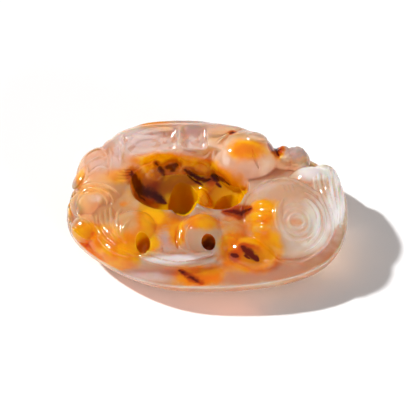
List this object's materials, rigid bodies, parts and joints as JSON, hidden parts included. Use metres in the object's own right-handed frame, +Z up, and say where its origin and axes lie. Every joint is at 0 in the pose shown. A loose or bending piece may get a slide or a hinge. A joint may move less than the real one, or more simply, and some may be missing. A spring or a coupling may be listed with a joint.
{
  "type": "carved agate pebble",
  "caption": "Carved agate pebble: a smooth rounded belly with a thin rim and, on top, a pierced high-relief carving of a curled-up beast.",
  "frame": {"origin": "middle of the stone's outline seen from above, on the surface that it lies on", "axes": "+X along the stone's length towards the round haunch, +Y towards its high back wall, +Z up out of the carving"},
  "size_m": [0.056, 0.038, 0.016],
  "materials": {
    "agate": "polished"
  },
  "bodies": {
    "root": {"carved_pebble": "agate"}
  },
  "joints": []
}
